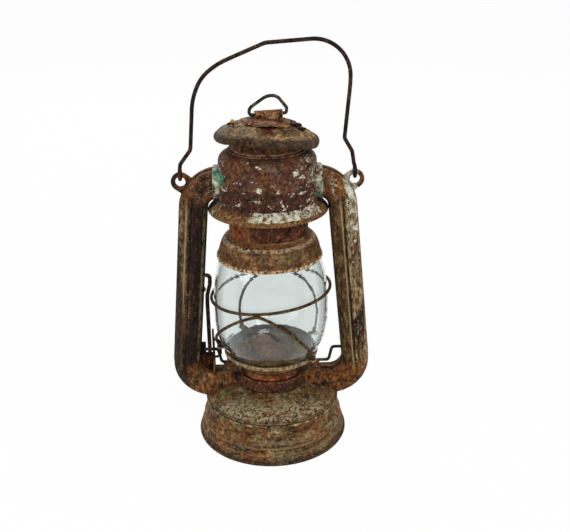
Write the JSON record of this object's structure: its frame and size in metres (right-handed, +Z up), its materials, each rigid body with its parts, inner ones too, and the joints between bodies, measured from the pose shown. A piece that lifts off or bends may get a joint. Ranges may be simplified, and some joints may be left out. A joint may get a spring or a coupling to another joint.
{
  "type": "hanging oil lantern",
  "caption": "Hurricane lantern: round tank, side air tubes, air drum, sliding chimney and hood, barrel glass in a wire guard, lift lever, turning wick and wire bail.",
  "frame": {"origin": "centre of the base ring, on the surface that the lantern stands on", "axes": "+Z up along the chimney, +X to the right-hand side tube, -Y to the front"},
  "size_m": [0.144, 0.1106, 0.2898],
  "materials": {
    "rusted_steel": "bare steel sheet, evenly rusted brown",
    "painted_drum": "cream-white enamel, mostly flaked down to rust",
    "tube_steel": "worn olive-beige paint over rust",
    "red_rust": "thick reddish rust",
    "green_patina": "green corrosion over the solder",
    "dark_wire": "drawn steel wire, dark brown",
    "burner_brass": "dull brass",
    "copper_band": "tarnished copper-coloured brass",
    "grey_plate": "dull grey steel",
    "clear_glass": "clear blown glass, slightly green",
    "cotton": "woven cotton",
    "gasket_rubber": "black rubber"
  },
  "bodies": {
    "lantern_frame": {"tank_pan": "rusted_steel", "tank_floor": "rusted_steel", "tank_top": "rusted_steel", "filler_neck": "burner_brass", "left_tube_front": "tube_steel", "left_tube_rear": "tube_steel", "right_tube_front": "tube_steel", "right_tube_rear": "tube_steel", "left_ear": "rusted_steel", "right_ear": "rusted_steel", "left_drum_socket": "green_patina", "right_drum_socket": "green_patina", "left_tank_socket": "rusted_steel", "right_tank_socket": "rusted_steel", "air_drum": "painted_drum", "drum_collar": "rusted_steel", "drum_skirt": "painted_drum", "burner_throat": "red_rust", "burner_collar": "burner_brass", "burner_body": "burner_brass", "wick_tube": "burner_brass", "burner_band": "copper_band", "burner_deck": "copper_band", "burner_cone": "red_rust", "lift_bracket": "rusted_steel", "bracket_rivets": "dark_wire", "bracket_loop": "dark_wire", "lever_stud": "rusted_steel", "chimney_spring": "dark_wire"},
    "filler_cap": {"filler_cap": "rusted_steel", "filler_gasket": "gasket_rubber"},
    "bail": {"bail": "dark_wire"},
    "wick_spindle": {"wick_spindle": "dark_wire", "wick_wheels": "burner_brass", "wick_knob": "burner_brass"},
    "wick": {"wick": "cotton"},
    "lift_lever": {"lift_lever": "dark_wire", "left_crank": "dark_wire"},
    "right_link": {"right_crank": "dark_wire"},
    "globe_carriage": {"globe_plate": "grey_plate", "plate_lugs": "grey_plate", "guard_tabs": "grey_plate", "guard_feet": "dark_wire", "guard_ring": "dark_wire", "guard_front_arch": "dark_wire", "guard_rear_arch": "dark_wire", "globe_glass": "clear_glass"},
    "chimney": {"chimney_tube": "red_rust", "chimney_dome": "rusted_steel", "globe_seat": "rusted_steel", "spring_seat": "dark_wire", "hood": "rusted_steel", "hood_struts": "rusted_steel", "top_cap": "rusted_steel", "ring_sleeve": "rusted_steel"},
    "carry_ring": {"carry_ring": "dark_wire"}
  },
  "joints": [
    {"name": "filler_cap_off", "type": "slide", "parent": "lantern_frame", "child": "filler_cap", "axis": [0, 0.336, 0.9419], "range_m": [0, 0.014]},
    {"name": "bail_swing", "type": "hinge", "parent": "lantern_frame", "child": "bail", "pos_m": [0, 0, 0.20001], "axis": [1, 0, 0], "range_deg": [-125, 125]},
    {"name": "wick_knob_turn", "type": "hinge", "parent": "lantern_frame", "child": "wick_spindle", "pos_m": [-0.00324, -0.00259, 0.0535], "axis": [-0.6239, 0.7815, 0], "range_deg": [-70, 110]},
    {"name": "wick_rise", "type": "slide", "parent": "lantern_frame", "child": "wick", "axis": [0, 0, 1], "range_m": [-0.00614, 0.0039]},
    {"name": "lever_turn", "type": "hinge", "parent": "lantern_frame", "child": "lift_lever", "pos_m": [0, 0, 0.0658], "axis": [1, 0, 0], "range_deg": [-65, 0]},
    {"name": "right_link_turn", "type": "hinge", "parent": "lantern_frame", "child": "right_link", "pos_m": [0, 0, 0.0658], "axis": [1, 0, 0], "range_deg": [-65, 0]},
    {"name": "globe_lift", "type": "slide", "parent": "lantern_frame", "child": "globe_carriage", "axis": [0, 0, 1], "range_m": [0, 0.0106]},
    {"name": "chimney_lift", "type": "slide", "parent": "globe_carriage", "child": "chimney", "axis": [0, 0, 1], "range_m": [0, 0.012], "stiffness_N_per_m": 80, "springref_m": -0.02, "deforming": ["chimney_spring"]},
    {"name": "carry_ring_swing", "type": "hinge", "parent": "chimney", "child": "carry_ring", "pos_m": [0.00132, 0, 0.2404], "axis": [0.9989, 0, 0.0471], "range_deg": [-80, 80]}
  ],
  "couplings": [
    {"joint": "wick_knob_turn", "follows": "wick_rise", "rad_per_m": -312.5},
    {"joint": "right_link_turn", "follows": "globe_lift", "rad_per_m": -107.07},
    {"joint": "lever_turn", "follows": "globe_lift", "rad_per_m": -107.07}
  ]
}
